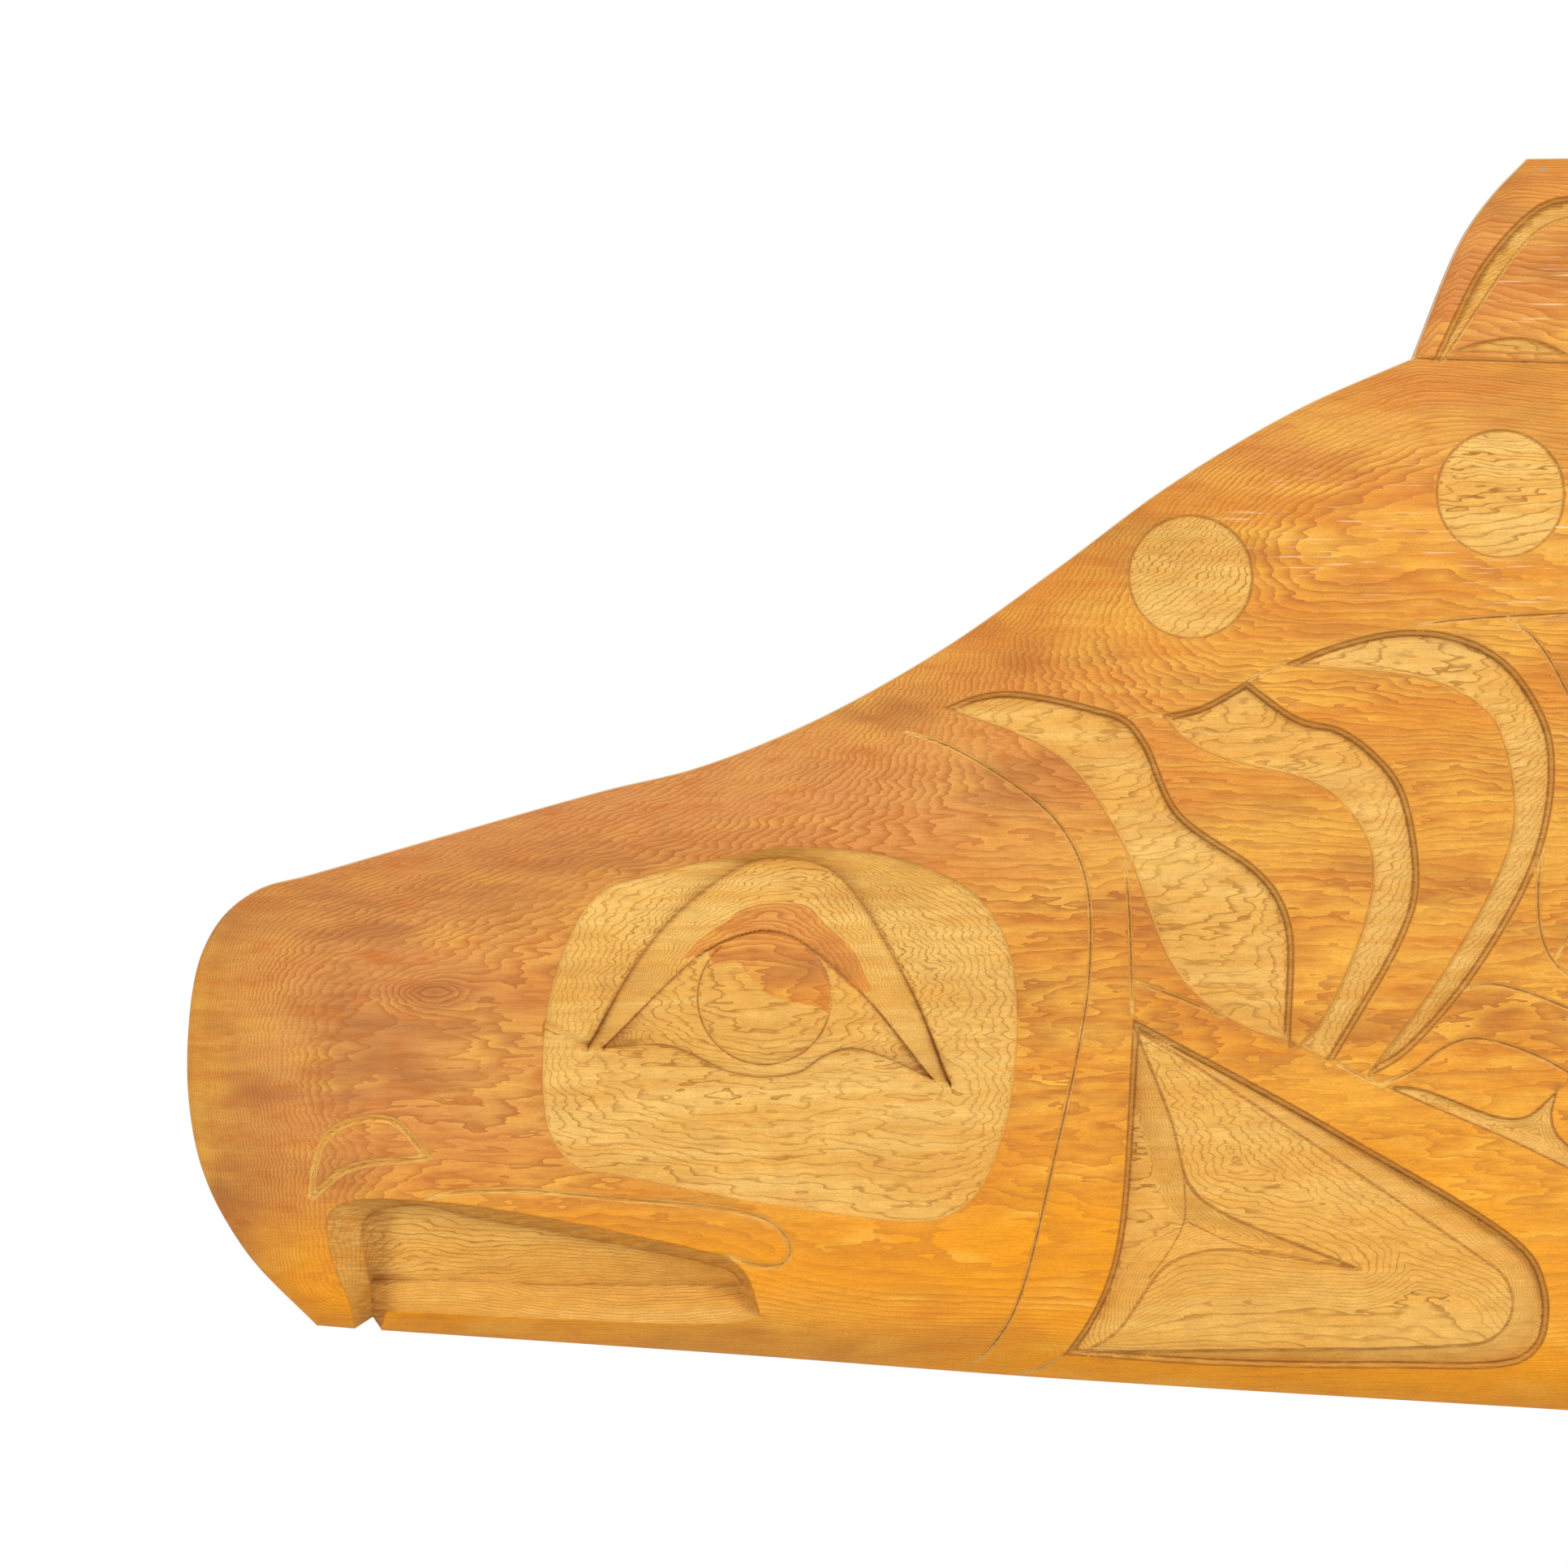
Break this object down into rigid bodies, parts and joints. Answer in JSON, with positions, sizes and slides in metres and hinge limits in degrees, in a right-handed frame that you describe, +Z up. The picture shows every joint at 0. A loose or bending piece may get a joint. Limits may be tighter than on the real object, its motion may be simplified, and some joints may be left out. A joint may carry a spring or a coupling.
{
  "type": "carved wooden salmon wall plaque",
  "caption": "Salmon carved in relief from one thick cedar plank, with crescent gill forms, round spots and an oval eye; flat back, hangs on a wall.",
  "frame": {"origin": "hanging point on the flat back face, above the middle of the weight", "axes": "+Y into the wall, out of the flat back; +X along the fish from snout to tail; +Z up"},
  "size_m": [1.6042, 0.073, 0.6283],
  "materials": {
    "salmon": "satin varnished red cedar, paler in the cut forms"
  },
  "bodies": {
    "root": {"salmon": "salmon"}
  },
  "joints": []
}
